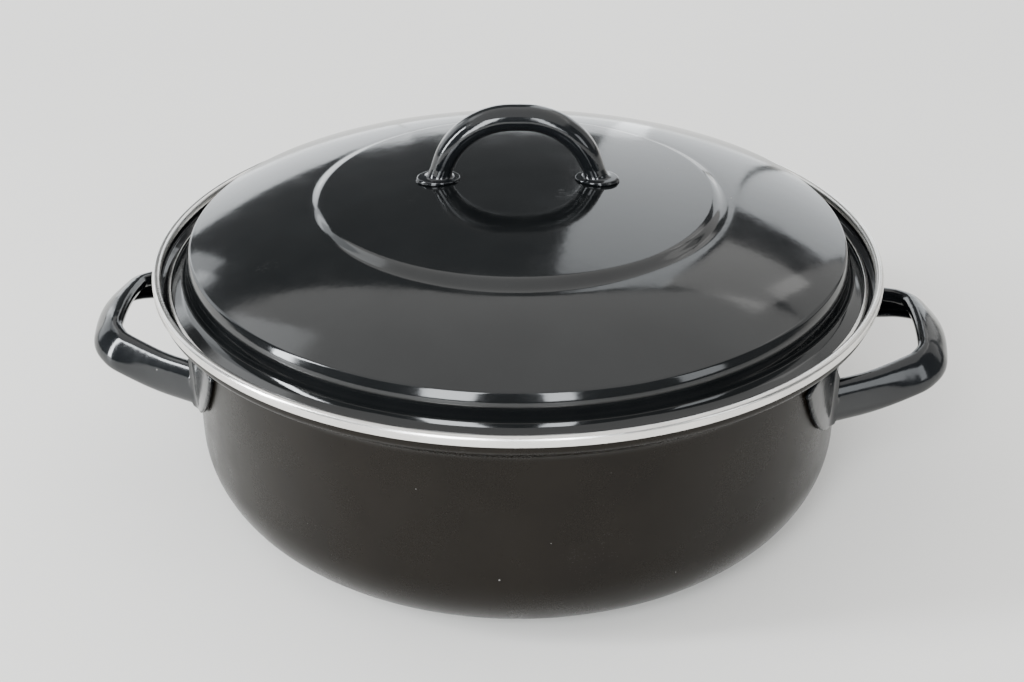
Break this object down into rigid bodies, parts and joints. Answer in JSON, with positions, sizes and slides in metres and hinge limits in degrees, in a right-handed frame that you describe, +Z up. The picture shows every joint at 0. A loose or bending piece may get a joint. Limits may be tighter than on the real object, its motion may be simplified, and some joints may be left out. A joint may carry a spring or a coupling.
{
  "type": "covered casserole dish",
  "caption": "Wide low round enamelled steel cooking pot with a flared steel-edged rim, two side loop handles and a domed lid with a bow handle that lifts off.",
  "frame": {"origin": "middle of the flat base, on the surface that the pot stands on", "axes": "+Z up out of the pot; +X through the middle of the right side handle"},
  "size_m": [0.3394, 0.28, 0.1559],
  "materials": {
    "pot_enamel": "black vitreous enamel on steel, satin outside and glossy inside",
    "handle_enamel": "glossy black vitreous enamel on steel",
    "lid_enamel": "glossy black vitreous enamel on steel",
    "edge_steel": "rolled stainless strip, softly polished"
  },
  "bodies": {
    "pot": {"pot_body": "pot_enamel", "pot_rim_band": "edge_steel", "left_side_handle": "handle_enamel", "right_side_handle": "handle_enamel"},
    "lid": {"lid_shell": "lid_enamel", "lid_edge_band": "edge_steel", "lid_bow_handle": "handle_enamel"}
  },
  "joints": [
    {"name": "lid_lift", "type": "slide", "parent": "pot", "child": "lid", "axis": [0, 0, 1], "range_m": [0, 0.15]}
  ]
}
